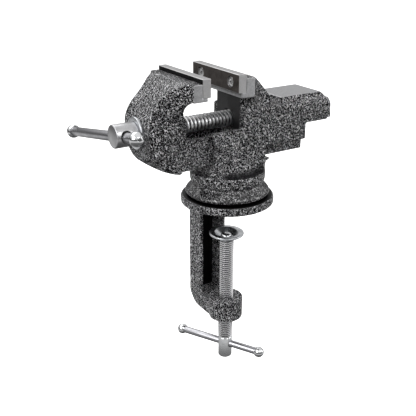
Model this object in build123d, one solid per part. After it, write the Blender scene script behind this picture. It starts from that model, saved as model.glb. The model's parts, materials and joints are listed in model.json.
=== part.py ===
from build123d import *
import math
import os

os.makedirs("parts", exist_ok=True)

# Frame: origin at the centre of the clamp flange's flat underside, on the swivel axis.
# +X runs from the handle end towards the anvil, +Z is up, the clamp throat opens to -Y.

# ---- jaws and jaw plates -------------------------------------------------------------
JAW_WIDTH = 60.0
JAW_OPENING = 22.4
FIXED_FACE_X = -11.7
MOVABLE_FACE_X = FIXED_FACE_X - JAW_OPENING
PLATE_TOP_Z = 101.8
PLATE_HEIGHT = 12.7
PLATE_THICK = 6.2
PLATE_HOLE_Y = 19.0
PLATE_SCREW_D = 4.0
PLATE_SCREW_HEAD_D = 7.0
PLATE_SCREW_HEAD_H = 4.0
HEAD_TOP_Z = 98.9
PLATE_HOLE_DEPTH = 11.5
FIXED_SEAT_Z = 85.2
MOVABLE_SEAT_Z = 86.6
SEAT_FRONT = 4.0
# crown of both jaws: distance behind the plate's back against height
CROWN = [
    (6.7, 98.9), (9.6, 98.3), (13.0, 96.9), (17.0, 94.4), (20.6, 91.7), (24.6, 88.1), (28.0, 84.6),
]
# plan of the jaw wings: distance behind the plate's back against half width
WING = [
    (7.0, 30.0), (8.0, 26.6), (9.8, 24.4), (13.4, 21.9),
    (17.2, 19.2), (20.8, 17.2), (25.0, 15.8), (29.0, 15.2),
]

# ---- main screw ----------------------------------------------------------------------
SCREW_Z = 64.2
SCREW_D = 12.0
SCREW_TIP_X = 40.0
SCREW_HEAD_D = 16.4
SCREW_HEAD_X = -92.8
JAW_FRONT_X = -74.9
WASHER_D = 22.6
WASHER_THICK = 2.0
PIN_X = -62.0
PIN_HOLE_R = 1.55
RETAINING_RING_R = 10.0
BAR_HOLE_X = -85.8
BAR_D = 7.2
BAR_HOLE_D = 8.6
BAR_TILT = -11.0
BAR_DROP = 0.6
BAR_HOLE_Z = 63.4
BAR_FAR = 88.4
BAR_NEAR = 22.3
KNOB_D = 10.4

# ---- vise body -----------------------------------------------------------------------
NECK_HALF = 15.4
HOUSING_HALF = 19.4
HOUSING_TOP_Z = 73.5
HOUSING_REAR_X = 58.3
HOUSING_BOTTOM_Z = 44.0
CHEEK_FRONT_X = -25.0
CHEEK_TOP_Z = 60.0
ANVIL_Z = 77.8
ANVIL_X0 = 36.6
ANVIL_X1 = 74.2
HORN_END_X = 82.5
HORN_BOTTOM_Z = 57.6
FRONT_WALL = 14.0
NUT_R = 9.0
NUT_SCREW_Y = 8.0
NUT_SCREW_Z = SCREW_Z + 8.0
NUT_SCREW_HEAD_D = 5.4
RING_R = 28.5
RING_TOP_Z = 25.9
RING_BOTTOM_Z = 16.3
GROOVE_R = 25.8
SKIRT_R = 32.0
BODY_BOTTOM_Z = 6.8
BOLT_SEAT_Z = 28.0

# ---- slide of the movable jaw --------------------------------------------------------
SLIDE_HALF = 15.0
SLIDE_BOTTOM_Z = 35.4
SLIDE_TOP_Z = 57.0
SLIDE_REAR_X = 58.0
SLIDE_WALL = 4.0
SLIDE_FLOOR = 4.6
INNER_FACE_X = -44.0
SLIDE_GAP = 0.4

# ---- clamp ---------------------------------------------------------------------------
FLANGE_R = 35.4
FLANGE_Z = 6.4
HUB_R = 20.0
HUB_Z = 18.0
POCKET_R = 11.5
POCKET_Z = 12.4
SPIGOT_GAP = 0.3
ARM_FRONT_Y = 19.3
ARM_BACK_Y = 35.3
ARM_FRONT_HALF = 11.6
ARM_BACK_HALF = 12.8
ARM_BOTTOM_Z = -101.4
ARM_FLOOR_Z = -88.0
CHANNEL_FRONT_HALF = 9.2
CHANNEL_ROOT_HALF = 7.4
CHANNEL_ROOT_Y = 32.8
BOSS_R = 13.55
BOSS_TOP_Z = -83.7
CLAMP_SCREW_D = 12.0
CLAMP_PLAIN_D = 11.3
CLAMP_THREAD_END_Z = -121.4
CLAMP_SCREW_END_Z = -140.0
PAD_R = 13.5
PAD_TOP_Z = -27.1
PAD_WEB_Z = -30.6
PAD_BOTTOM_Z = -32.2
CLAMP_BAR_Z = -127.9
CLAMP_BAR_TURN = -61.7
CLAMP_BAR_D = 5.8
CLAMP_BAR_HOLE_D = 6.6
CLAMP_BAR_NEAR = 31.0
CLAMP_BAR_FAR = 41.2
CLAMP_KNOB_D = 8.6

# ---- swivel bolt set -----------------------------------------------------------------
BOLT_D = 10.0
BOLT_AF = 16.0
BOLT_HEAD_H = 6.4
NUT_H = 8.0
FLAT_WASHER_H = 2.0
SPRING_WASHER_H = 2.1


def box(x0, x1, y0, y1, z0, z1):
    centre = Pos((x0 + x1) / 2, (y0 + y1) / 2, (z0 + z1) / 2)
    return centre * Box(x1 - x0, y1 - y0, z1 - z0)


def rod_x(r, x0, x1, y=0.0, z=SCREW_Z):
    return Pos((x0 + x1) / 2, y, z) * Rot(0, 90, 0) * Cylinder(r, x1 - x0)


def rod_z(r, z0, z1, x=0.0, y=0.0):
    return Pos(x, y, (z0 + z1) / 2) * Cylinder(r, z1 - z0)


def slab(plane, outline, half):
    """Closed outline drawn on a plane, thickened both ways."""
    pieces = outline if isinstance(outline, list) else [outline]
    edges = [edge for piece in pieces for edge in (plane * piece).edges()]
    return extrude(make_face(edges), amount=half, both=True)


def turned(profile):
    """Outline in radius and height, spun about the swivel axis."""
    return revolve(make_face(Plane.XZ * Polyline(*profile, close=True)), Axis.Z)


def edges_near(solid, axis, spots, reach=1.0):
    """Edges parallel to an axis that pass near the given places, None meaning any value."""
    found = []
    for edge in solid.edges().filter_by(axis):
        centre = edge.center()
        for spot in spots:
            gaps = [0.0 if want is None else abs(have - want) for have, want in zip(centre, spot)]
            if max(gaps) < reach:
                found.append(edge)
                break
    return found


def corner_cut(x, y, low_r, low_z, high_r, high_z):
    """Waste outside a vertical corner whose rounding shrinks from low_r to high_r."""
    levels = []
    for r, z in ((low_r, low_z), (high_r, high_z)):
        inset = r * (1 - math.sqrt(0.5))
        lines = Polyline((x + r, y), (x + r, y + 3), (x - 5, y + 3), (x - 5, y - r), (x, y - r))
        arc = ThreePointArc((x, y - r), (x + inset, y - inset), (x + r, y))
        levels.append(Pos(0, 0, z) * make_face(lines.edges() + arc.edges()))
    return loft(levels, ruled=True)


def save(shape, name):
    shape.label = name
    export_step(shape, "parts/" + name + ".step")


def group(solids):
    return Compound(children=solids)


# half width of the haunch that carries the wings down into the casting, against height
HAUNCH = [(87.5, 30.0), (86.0, 26.0), (83.5, 22.6), (79.5, 19.8), (75.0, 18.0), (70.0, 17.0)]


def wing_plan(back_x, toward, blunt):
    """Block as deep as the casting whose plan is the flared jaw head."""
    side = [(back_x + toward * d, h) for d, h in WING]
    other = [(x, -h) for x, h in reversed(side)]
    plan = [
        Spline(*side),
        Polyline(side[-1], other[0]),
        Spline(*other),
        Polyline(other[-1], (blunt, -JAW_WIDTH / 2), (blunt, JAW_WIDTH / 2), side[0]),
    ]
    return slab(Plane.XY.offset(90), plan, 30)


def haunch_cut(centre_x):
    """Block along X as wide as the haunch at each height."""
    side = [(h, z) for z, h in HAUNCH]
    other = [(-h, z) for h, z in reversed(side)]
    outline = [
        Spline(*side),
        Polyline(side[-1], (side[-1][0], 66.0), (-side[-1][0], 66.0), other[0]),
        Spline(*other),
        Polyline(other[-1], side[0]),
    ]
    return Pos(centre_x, 0, 0) * slab(Plane.YZ, outline, 40)


def jaw_head(back_x, toward, seat_z):
    """Jaw head with its seat for the plate; toward is +1 when the jaw faces -X."""
    front = back_x - toward * SEAT_FRONT
    top = [(back_x + toward * d, z) for d, z in CROWN]
    low_z = top[-1][1] - 5
    run = Polyline(top[0], (back_x, HEAD_TOP_Z), (back_x, PLATE_TOP_Z - PLATE_HEIGHT),
                   (front, PLATE_TOP_Z - PLATE_HEIGHT), (front, low_z), (top[-1][0], low_z), top[-1])
    head = slab(Plane.XZ, [run, Spline(*top)], JAW_WIDTH / 2)
    head -= box(back_x - 50, back_x + 50, -40, 40, low_z - 5, seat_z)
    return head & wing_plan(back_x, toward, front - toward * 2)


# ---- vise body -----------------------------------------------------------------------
fixed_back = FIXED_FACE_X + PLATE_THICK
plate_mid_z = PLATE_TOP_Z - PLATE_HEIGHT / 2


def build_body():
    crown = [(fixed_back + d, z) for d, z in CROWN] + [(27.0, 79.0), (29.6, 75.4)]
    outline = [
        Spline(*crown),
        Polyline(crown[-1], (32.0, 74.4), (ANVIL_X0 - 0.6, 74.4), (ANVIL_X0, ANVIL_Z), (ANVIL_X1, ANVIL_Z),
                 (80.2, 72.9), (81.8, 68.5), (HORN_END_X, HORN_BOTTOM_Z), (0, HORN_BOTTOM_Z), (0, 86.0),
                 (crown[0][0], 86.0), crown[0]),
    ]
    neck = slab(Plane.XZ, outline, NECK_HALF)
    haunch = slab(Plane.XZ, outline, 31) & wing_plan(fixed_back, 1, -12) & haunch_cut(0)
    haunch -= box(-20, 5.5, -40, 40, 60, 90)
    neck += haunch
    ridge = [(0.2, -NECK_HALF + 1), (-0.6, 0), (0.2, NECK_HALF - 1)]
    keel = Pos(0, 0, 72) * extrude(make_face(Polyline(*ridge, close=True)), amount=13.4, both=True)

    side = [
        (CHEEK_FRONT_X, CHEEK_TOP_Z), (0, CHEEK_TOP_Z), (0, HOUSING_TOP_Z), (79.6, HOUSING_TOP_Z),
        (81.8, 68.5), (HORN_END_X, HORN_BOTTOM_Z), (79.0, HORN_BOTTOM_Z), (79.0, 56.4),
        (HOUSING_REAR_X, 56.4), (HOUSING_REAR_X, HOUSING_BOTTOM_Z), (21.0, HOUSING_BOTTOM_Z),
        (21.0, RING_TOP_Z - 1), (-24.0, RING_TOP_Z - 1), (-24.0, 36.0), (-22.0, 48.0),
    ]
    housing = slab(Plane.XZ, Polyline(*side, close=True), HOUSING_HALF)
    housing = fillet(edges_near(housing, Axis.Y, [(21.0, 0, HOUSING_BOTTOM_Z)]), 4.5)
    corner = corner_cut(-24.0, HOUSING_HALF, 7.0, 20.0, 0.6, 54.0)
    housing -= corner
    housing -= mirror(corner, Plane.XZ)
    ledge = [e for e in housing.edges() if abs(abs(e.center().Y) - HOUSING_HALF) < 0.01]
    ledge = [e for e in ledge if abs(e.center().Z - HOUSING_TOP_Z) < 0.1]
    housing = fillet(ledge, 2.2)
    lip = [(19.0, 28.0), (21.0, 30.5), (21.8, 32.6), (24.6, 33.8), (24.6, 35.0), (19.0, 35.0)]
    housing += slab(Plane.XZ, Polyline(*lip, close=True), HOUSING_HALF)
    drum = Pos(0, 0, RING_TOP_Z + 9) * Cone(22.8, 19.0, 20)
    ring = turned([
        (0, BODY_BOTTOM_Z), (30.6, BODY_BOTTOM_Z), (31.2, 8.2), (SKIRT_R, 8.6), (31.6, 10.2),
        (30.0, 12.1), (28.0, 14.0), (26.6, 15.4), (GROOVE_R, RING_BOTTOM_Z), (26.6, 16.8),
        (27.7, 17.6), (28.3, 18.7), (RING_R, 20.0), (RING_R, 25.0), (27.8, RING_TOP_Z), (0, RING_TOP_Z),
    ])
    body = neck + housing + jaw_head(fixed_back, 1, FIXED_SEAT_Z) + keel + drum + ring

    low_z = SLIDE_BOTTOM_Z - SLIDE_GAP
    wide = SLIDE_HALF + SLIDE_GAP
    body -= box(-60, 90, -wide, wide, low_z, SLIDE_TOP_Z + SLIDE_GAP)
    body -= box(-60, 0, -wide, wide, low_z, CHEEK_TOP_Z + 1)
    body -= box(FRONT_WALL, 66, -12.5, 12.5, SLIDE_TOP_Z, 72.0)
    body -= box(FRONT_WALL, 21.5, -11.4, 11.4, 70.0, 75.6)
    boss = SLIDE_HALF - SLIDE_WALL - SLIDE_GAP
    body += box(0, FRONT_WALL, -boss, boss, 50.5, 60)
    body -= rod_x(6.5, -2, 3)
    body -= rod_x(NUT_R + 0.05, 2, FRONT_WALL + 1)
    for y in (-NUT_SCREW_Y, NUT_SCREW_Y):
        body -= rod_x(2.1, 4, FRONT_WALL + 1, y, NUT_SCREW_Z)
    for y in (-PLATE_HOLE_Y, PLATE_HOLE_Y):
        hole_end = fixed_back + PLATE_HOLE_DEPTH
        body -= rod_x(PLATE_SCREW_D / 2 + 0.1, fixed_back - 1, hole_end, y, plate_mid_z)
    body -= rod_z(HUB_R + SPIGOT_GAP, 0, HUB_Z + 0.4)
    body -= rod_z(BOLT_D / 2 + 0.3, 10, 40)
    body -= rod_z(11.5, BOLT_SEAT_Z, 40)
    return body


# ---- movable jaw ---------------------------------------------------------------------
movable_back = MOVABLE_FACE_X - PLATE_THICK


def build_jaw():
    crown = [(movable_back - d, z) for d, z in CROWN]
    crown += [(-71.4, 80.6), (-73.4, 76.6), (-74.6, 72.4), (JAW_FRONT_X, 68.0)]
    chin = [(JAW_FRONT_X, 45.6), (-68.0, 40.8), (-59.0, 36.6), (-53.0, 34.4), (-48.6, 33.6)]
    inner = [
        (INNER_FACE_X, 70.0), (-46.0, 73.0), (-48.2, 76.5), (-48.8, 80.0), (-48.2, 83.6),
        (-46.2, MOVABLE_SEAT_Z),
    ]
    back = [
        Spline(*crown),
        Polyline(crown[-1], chin[0]),
        Spline(*chin),
        Polyline(chin[-1], (-47.9, SLIDE_BOTTOM_Z), (-40.0, SLIDE_BOTTOM_Z), (-40.0, 50.0),
                 (INNER_FACE_X, 54.0), inner[0]),
        Spline(*inner),
        Polyline(inner[-1], (movable_back, MOVABLE_SEAT_Z), (movable_back, HEAD_TOP_Z), crown[0]),
    ]
    core = slab(Plane.XZ, back, 18.5)
    chin_edges = [e for e in core.edges() if e.geom_type == GeomType.BSPLINE and e.center().Z < 45]
    core = fillet(chin_edges, 4.0)
    front = [(16.2, 100), (16.2, 88), (16.5, 82), (17.4, 76), (18.3, 70), (18.5, 64), (18.5, 30)]
    mirror_side = [(-y, z) for y, z in reversed(front)]
    shell = [
        Polyline(mirror_side[-1], front[0]),
        Polyline(front[0], front[1]),
        Spline(*front[1:6]),
        Polyline(front[5], front[6], mirror_side[0], mirror_side[1]),
        Spline(*mirror_side[1:6]),
        Polyline(mirror_side[5], mirror_side[6]),
    ]
    core &= Pos(-60, 0, 0) * slab(Plane.YZ, shell, 30)
    nose = Pos((JAW_FRONT_X - 40) / 2, 0, SCREW_Z) * Rot(0, 90, 0) * Cone(18.5, 53.4, -JAW_FRONT_X - 40)
    core &= nose + box(-90, -30, -40, 40, SCREW_Z, 120)
    cheek = [(-64.0, 18.6), (-59.0, 18.2), (-54.0, 17.0), (-49.5, 15.6), (-46.5, SLIDE_HALF)]
    mirror_cheek = [(x, -y) for x, y in reversed(cheek)]
    plan = [
        Spline(*cheek),
        Polyline(cheek[-1], (-35.0, SLIDE_HALF), (-35.0, -SLIDE_HALF), mirror_cheek[0]),
        Spline(*mirror_cheek),
        Polyline(mirror_cheek[-1], (-80.0, -18.6), (-80.0, 18.6), cheek[0]),
    ]
    core &= slab(Plane.XY.offset(60), plan, 60)
    core += slab(Plane.XZ, back, 31) & wing_plan(movable_back, -1, -40) & haunch_cut(-60)
    slide = box(-52, SLIDE_REAR_X, -SLIDE_HALF, SLIDE_HALF, SLIDE_BOTTOM_Z, SLIDE_TOP_Z)
    bottom_edges = [(None, y, SLIDE_BOTTOM_Z) for y in (-SLIDE_HALF, SLIDE_HALF)]
    slide = fillet(edges_near(slide, Axis.X, bottom_edges), 1.2)
    channel = SLIDE_HALF - SLIDE_WALL
    floor = SLIDE_BOTTOM_Z + SLIDE_FLOOR
    slide -= box(INNER_FACE_X, SLIDE_REAR_X + 5, -channel, channel, floor, SLIDE_TOP_Z + 5)
    jaw = core + slide + jaw_head(movable_back, -1, MOVABLE_SEAT_Z)
    jaw -= rod_x(SCREW_D / 2 + 0.4, -90, -30)
    jaw -= box(-65.5, -52.5, -11.5, 11.5, 20, 75.6)
    jaw -= rod_x(WASHER_D / 2 + 1.0, -90, JAW_FRONT_X + 0.3)
    for y in (-PLATE_HOLE_Y, PLATE_HOLE_Y):
        hole_end = movable_back - PLATE_HOLE_DEPTH
        jaw -= rod_x(PLATE_SCREW_D / 2 + 0.1, hole_end, movable_back + 1, y, plate_mid_z)
    return jaw


# ---- jaw plates and their screws -----------------------------------------------------
def build_plate(face_x, toward):
    back_x = face_x + toward * PLATE_THICK
    low, high = sorted((face_x, back_x))
    half = JAW_WIDTH / 2
    plate = box(low, high, -half, half, PLATE_TOP_Z - PLATE_HEIGHT, PLATE_TOP_Z)
    plate = chamfer(plate.edges(), 0.3)
    sink_end = face_x + toward * (PLATE_SCREW_HEAD_H + 0.6)
    for y in (-PLATE_HOLE_Y, PLATE_HOLE_Y):
        a, b = sorted((face_x - toward, back_x + toward))
        plate -= rod_x(PLATE_SCREW_D / 2 + 0.2, a, b, y, plate_mid_z)
        a, b = sorted((face_x - toward, sink_end))
        plate -= rod_x(PLATE_SCREW_HEAD_D / 2 + 0.4, a, b, y, plate_mid_z)
    return plate


def cap_screw(shaft_d, head_d, head_h, length, socket_af):
    """Socket head screw with its head underside at the origin, pointing along +Z."""
    head = Pos(0, 0, -head_h / 2) * Cylinder(head_d / 2, head_h)
    head = chamfer(head.edges().sort_by(Axis.Z)[0], 0.4)
    shaft = Pos(0, 0, length / 2) * Cylinder(shaft_d / 2, length)
    shaft = chamfer(shaft.edges().sort_by(Axis.Z)[-1], 0.4)
    socket = RegularPolygon(socket_af / math.sqrt(3), 6)
    deep = head_h * 0.6
    return head + shaft - Pos(0, 0, -head_h) * extrude(socket, amount=deep)


def build_plate_screws(face_x, toward):
    seat = face_x + toward * (PLATE_SCREW_HEAD_H + 0.6)
    turn = Rot(0, 90, 0) if toward > 0 else Rot(0, -90, 0)
    screw = cap_screw(PLATE_SCREW_D, PLATE_SCREW_HEAD_D, PLATE_SCREW_HEAD_H, 12.0, 3.0)
    return group([Pos(seat, y, plate_mid_z) * turn * screw for y in (-PLATE_HOLE_Y, PLATE_HOLE_Y)])


# ---- main screw group ----------------------------------------------------------------
bar_way = Pos(BAR_HOLE_X, 0, BAR_HOLE_Z) * Rot(BAR_TILT, 0, 0)


def build_main_screw():
    shoulder = JAW_FRONT_X - WASHER_THICK + 0.3
    head = rod_x(SCREW_HEAD_D / 2, SCREW_HEAD_X, shoulder)
    head = fillet(head.edges().sort_by(Axis.X)[0], 0.8)
    shaft = rod_x(SCREW_D / 2, shoulder - 1, SCREW_TIP_X)
    shaft = chamfer(shaft.edges().sort_by(Axis.X)[-1], 1.2)
    hole = bar_way * Rot(90, 0, 0) * Cylinder(BAR_HOLE_D / 2, 40)
    cross = Pos(PIN_X, 0, SCREW_Z) * Cylinder(PIN_HOLE_R, 40)
    return head + shaft - hole - cross


def build_main_washer():
    disc = rod_x(WASHER_D / 2, JAW_FRONT_X - WASHER_THICK + 0.3, JAW_FRONT_X + 0.3)
    disc = chamfer(disc.edges().sort_by(Axis.X)[0], 0.4)
    return disc - rod_x(SCREW_D / 2 + 0.2, -90, -60)


def build_retaining_ring():
    ring = rod_x(RETAINING_RING_R, -65.3, -58.7)
    ring = chamfer(ring.edges(), 0.5)
    ring -= rod_x(SCREW_D / 2 + 0.1, -70, -50)
    return ring - Pos(PIN_X, 0, SCREW_Z) * Cylinder(PIN_HOLE_R, 40)


def build_retaining_pin():
    pin = Pos(PIN_X, 0, SCREW_Z) * Cylinder(1.5, 18.0)
    return pin - Pos(PIN_X, 0, SCREW_Z) * Cylinder(0.8, 18.0) - Pos(PIN_X + 1, 0, SCREW_Z) * Box(2, 0.5, 18)


def build_bar(way, d, near, far, drop):
    return way * Pos(0, (far - near) / 2, -drop) * Rot(90, 0, 0) * Cylinder(d / 2, far + near)


def build_knobs(way, d, near, far, drop, knob_d):
    knobs = []
    for y, side in ((-near, -1), (far, 1)):
        ball = Pos(0, y, -drop) * Sphere(knob_d / 2)
        bore = Rot(90, 0, 0) * Cylinder(d / 2 + 0.05, knob_d / 2 + 0.1)
        bore = Pos(0, y - side * knob_d / 4, -drop) * bore
        knobs.append(way * (ball - bore))
    return group(knobs)


def build_main_nut():
    barrel = rod_x(NUT_R, 3.0, FRONT_WALL + 0.5)
    flange = box(FRONT_WALL, 20.5, -10.4, 10.4, SCREW_Z - 10.4, SCREW_Z + 10.8)
    flange = chamfer(flange.edges().filter_by(Axis.X), 0.8)
    nut = barrel + flange - rod_x(SCREW_D / 2 + 0.15, 0, 30)
    for y in (-NUT_SCREW_Y, NUT_SCREW_Y):
        nut -= rod_x(2.2, 10, 30, y, NUT_SCREW_Z)
        nut -= rod_x(NUT_SCREW_HEAD_D / 2 + 0.2, 18.6, 30, y, NUT_SCREW_Z)
    return nut


def build_nut_screws():
    screw = cap_screw(4.0, NUT_SCREW_HEAD_D, 1.8, 10.0, 2.5)
    return group([Pos(18.6, y, NUT_SCREW_Z) * Rot(0, -90, 0) * screw for y in (-NUT_SCREW_Y, NUT_SCREW_Y)])


# ---- clamp ---------------------------------------------------------------------------
def build_frame():
    disc = rod_z(FLANGE_R, 0, FLANGE_Z)
    disc = fillet(disc.edges().sort_by(Axis.Z)[-1], 2.6)
    disc = chamfer(disc.edges().sort_by(Axis.Z)[0], 0.5)
    frame = disc + rod_z(HUB_R, 0, HUB_Z)

    arm_side = [(ARM_FRONT_Y, 3), (ARM_BACK_Y, 3), (ARM_BACK_Y, ARM_BOTTOM_Z), (0, ARM_BOTTOM_Z),
                (0, ARM_FLOOR_Z), (ARM_FRONT_Y, ARM_FLOOR_Z)]
    arm = slab(Plane.YZ, Polyline(*arm_side, close=True), 14)
    arm = fillet(edges_near(arm, Axis.X, [(0, ARM_BACK_Y, ARM_BOTTOM_Z)]), 15.0)
    arm = fillet(edges_near(arm, Axis.X, [(0, ARM_FRONT_Y, ARM_FLOOR_Z)]), 2.0)
    plan = [(-ARM_FRONT_HALF, -1), (ARM_FRONT_HALF, -1), (ARM_FRONT_HALF, ARM_FRONT_Y),
            (ARM_BACK_HALF, ARM_BACK_Y + 1), (-ARM_BACK_HALF, ARM_BACK_Y + 1),
            (-ARM_FRONT_HALF, ARM_FRONT_Y)]
    arm &= Pos(0, 0, -50) * extrude(make_face(Polyline(*plan, close=True)), amount=60, both=True)
    trough = [(-CHANNEL_FRONT_HALF, ARM_FRONT_Y - 5), (CHANNEL_FRONT_HALF, ARM_FRONT_Y - 5),
              (CHANNEL_FRONT_HALF, ARM_FRONT_Y), (CHANNEL_ROOT_HALF, CHANNEL_ROOT_Y),
              (-CHANNEL_ROOT_HALF, CHANNEL_ROOT_Y), (-CHANNEL_FRONT_HALF, ARM_FRONT_Y)]
    cut = extrude(make_face(Polyline(*trough, close=True)), amount=-ARM_FLOOR_Z - 4)
    cut = Pos(0, 0, ARM_FLOOR_Z) * cut
    roots = [(CHANNEL_ROOT_HALF, CHANNEL_ROOT_Y, None), (-CHANNEL_ROOT_HALF, CHANNEL_ROOT_Y, None)]
    cut = fillet(edges_near(cut, Axis.Z, roots), 3.0)
    arm -= cut
    boss = rod_z(BOSS_R, ARM_BOTTOM_Z, BOSS_TOP_Z)
    boss = fillet(boss.edges().filter_by(GeomType.CIRCLE), 0.8)
    frame = frame + arm + boss
    frame -= rod_z(POCKET_R, -1, POCKET_Z)
    frame -= rod_z(BOLT_D / 2 + 0.3, 5, 25)
    return frame - rod_z(CLAMP_SCREW_D / 2 + 0.2, ARM_BOTTOM_Z - 5, BOSS_TOP_Z + 5)


clamp_way = Pos(0, 0, CLAMP_BAR_Z) * Rot(0, 0, CLAMP_BAR_TURN + 90)


def build_clamp_screw():
    top = PAD_BOTTOM_Z - 0.2
    thread = rod_z(CLAMP_SCREW_D / 2, CLAMP_THREAD_END_Z, top)
    thread = chamfer(thread.edges().filter_by(GeomType.CIRCLE), 0.8)
    plain = rod_z(CLAMP_PLAIN_D / 2, CLAMP_SCREW_END_Z, CLAMP_THREAD_END_Z + 2)
    plain = chamfer(plain.edges().sort_by(Axis.Z)[0], 0.8)
    nose = turned([(0, top - 1), (3.2, top - 1), (3.2, PAD_WEB_Z + 0.2), (4.3, PAD_WEB_Z + 0.3),
                   (4.0, PAD_WEB_Z + 1.3), (2.6, PAD_WEB_Z + 2.3), (0, PAD_WEB_Z + 2.7)])
    hole = clamp_way * Rot(90, 0, 0) * Cylinder(CLAMP_BAR_HOLE_D / 2, 30)
    return thread + plain + nose - hole


def build_pad():
    return turned([
        (3.4, PAD_WEB_Z), (4.8, PAD_WEB_Z), (8.8, PAD_TOP_Z - 0.4), (9.6, PAD_TOP_Z),
        (PAD_R - 0.4, PAD_TOP_Z), (PAD_R, PAD_TOP_Z - 0.4), (PAD_R, PAD_TOP_Z - 1.6),
        (PAD_R - 0.5, PAD_TOP_Z - 2.0), (10.0, PAD_TOP_Z - 2.0),
        (6.2, PAD_BOTTOM_Z), (3.4, PAD_BOTTOM_Z),
    ])


# ---- swivel bolt set -----------------------------------------------------------------
def hexagon(af, z0, z1):
    prism = extrude(RegularPolygon(af / math.sqrt(3), 6), amount=z1 - z0)
    return Pos(0, 0, z0) * prism & rod_z(af / math.sqrt(3) - 0.5, z0, z1)


def build_bolt():
    head = hexagon(BOLT_AF, BOLT_SEAT_Z, BOLT_SEAT_Z + BOLT_HEAD_H)
    shaft = rod_z(BOLT_D / 2, 0.8, BOLT_SEAT_Z + 1)
    shaft = chamfer(shaft.edges().sort_by(Axis.Z)[0], 0.8)
    return head + shaft


def build_flat_washer():
    return rod_z(10.0, POCKET_Z - FLAT_WASHER_H, POCKET_Z) - rod_z(BOLT_D / 2 + 0.3, 0, 20)


def build_spring_washer():
    top = POCKET_Z - FLAT_WASHER_H
    coil = rod_z(8.6, top - SPRING_WASHER_H, top) - rod_z(BOLT_D / 2 + 0.2, 0, 20)
    return coil - Pos(7, 0, top - 1) * Rot(25, 0, 0) * Box(6, 0.9, 8)


def build_swivel_nut():
    top = POCKET_Z - FLAT_WASHER_H - SPRING_WASHER_H
    return hexagon(BOLT_AF, top - NUT_H + 0.4, top) - rod_z(BOLT_D / 2 + 0.1, -5, 20)


clamp_bar_ends = (CLAMP_BAR_D, CLAMP_BAR_NEAR, CLAMP_BAR_FAR, 0.0)
parts = {
    "vise_body": build_body(),
    "movable_jaw": build_jaw(),
    "fixed_jaw_plate": build_plate(FIXED_FACE_X, 1),
    "movable_jaw_plate": build_plate(MOVABLE_FACE_X, -1),
    "fixed_jaw_plate_screws": build_plate_screws(FIXED_FACE_X, 1),
    "movable_jaw_plate_screws": build_plate_screws(MOVABLE_FACE_X, -1),
    "main_screw": build_main_screw(),
    "main_screw_washer": build_main_washer(),
    "main_screw_retaining_ring": build_retaining_ring(),
    "main_screw_retaining_pin": build_retaining_pin(),
    "main_bar": build_bar(bar_way, BAR_D, BAR_NEAR, BAR_FAR, BAR_DROP),
    "main_bar_knobs": build_knobs(bar_way, BAR_D, BAR_NEAR, BAR_FAR, BAR_DROP, KNOB_D),
    "main_nut": build_main_nut(),
    "main_nut_screws": build_nut_screws(),
    "clamp_frame": build_frame(),
    "clamp_screw": build_clamp_screw(),
    "clamp_pad": build_pad(),
    "clamp_bar": build_bar(clamp_way, *clamp_bar_ends),
    "clamp_bar_knobs": build_knobs(clamp_way, *clamp_bar_ends, CLAMP_KNOB_D),
    "swivel_bolt": build_bolt(),
    "swivel_washer": build_flat_washer(),
    "swivel_spring_washer": build_spring_washer(),
    "swivel_nut": build_swivel_nut(),
}
for name, shape in parts.items():
    save(shape, name)
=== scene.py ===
# %% [markdown]
# # A clamp-on bench vise
#
# The vise stands on a round flange that a C-clamp pulls down on the edge of a table. Its castings wear a
# black and silver hammer finish; the screws, bars, balls and jaw plates are bare or plated steel. The
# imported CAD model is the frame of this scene: it gives every size and place, and each visible piece below
# either keeps the CAD node with a finished material or stands in for it with a finer mesh.

import json
import math

import bmesh
import bpy
from mathutils import Matrix, Vector


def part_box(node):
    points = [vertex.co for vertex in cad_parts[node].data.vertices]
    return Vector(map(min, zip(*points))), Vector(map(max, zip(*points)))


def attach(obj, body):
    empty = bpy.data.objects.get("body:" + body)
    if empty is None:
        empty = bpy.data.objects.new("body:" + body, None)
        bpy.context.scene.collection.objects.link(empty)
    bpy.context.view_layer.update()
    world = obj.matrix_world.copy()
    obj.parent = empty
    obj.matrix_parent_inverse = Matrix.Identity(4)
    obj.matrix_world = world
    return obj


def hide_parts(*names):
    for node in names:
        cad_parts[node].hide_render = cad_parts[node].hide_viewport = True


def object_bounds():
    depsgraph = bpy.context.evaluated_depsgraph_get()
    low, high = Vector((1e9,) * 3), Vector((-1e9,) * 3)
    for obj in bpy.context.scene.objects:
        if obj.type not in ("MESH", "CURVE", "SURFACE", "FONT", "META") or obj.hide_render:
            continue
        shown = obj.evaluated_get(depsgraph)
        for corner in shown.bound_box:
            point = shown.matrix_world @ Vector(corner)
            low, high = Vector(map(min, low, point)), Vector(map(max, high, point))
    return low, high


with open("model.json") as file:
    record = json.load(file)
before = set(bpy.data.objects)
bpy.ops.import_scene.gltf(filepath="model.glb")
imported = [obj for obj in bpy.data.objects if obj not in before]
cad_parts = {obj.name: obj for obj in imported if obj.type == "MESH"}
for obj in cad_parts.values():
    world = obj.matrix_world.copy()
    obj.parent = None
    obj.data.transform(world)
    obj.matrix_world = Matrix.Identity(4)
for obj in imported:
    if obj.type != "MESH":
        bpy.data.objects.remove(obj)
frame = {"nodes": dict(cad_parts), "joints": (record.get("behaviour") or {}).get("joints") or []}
cad_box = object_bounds()
joints = {joint["name"]: joint for joint in frame["joints"]}
MM = 0.001


def box_mm(node):
    """The two far corners of a CAD node's box, in millimetres."""
    return [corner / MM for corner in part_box(node)]


# %% [markdown]
# ## Camera
#
# The camera is a plain perspective one with a long lens. It looks down at the vise from the handle end, a
# little to the open side of the clamp. Its place is worked out from two angles, a distance and a shift
# sideways and up, so turning it is easy.

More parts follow.
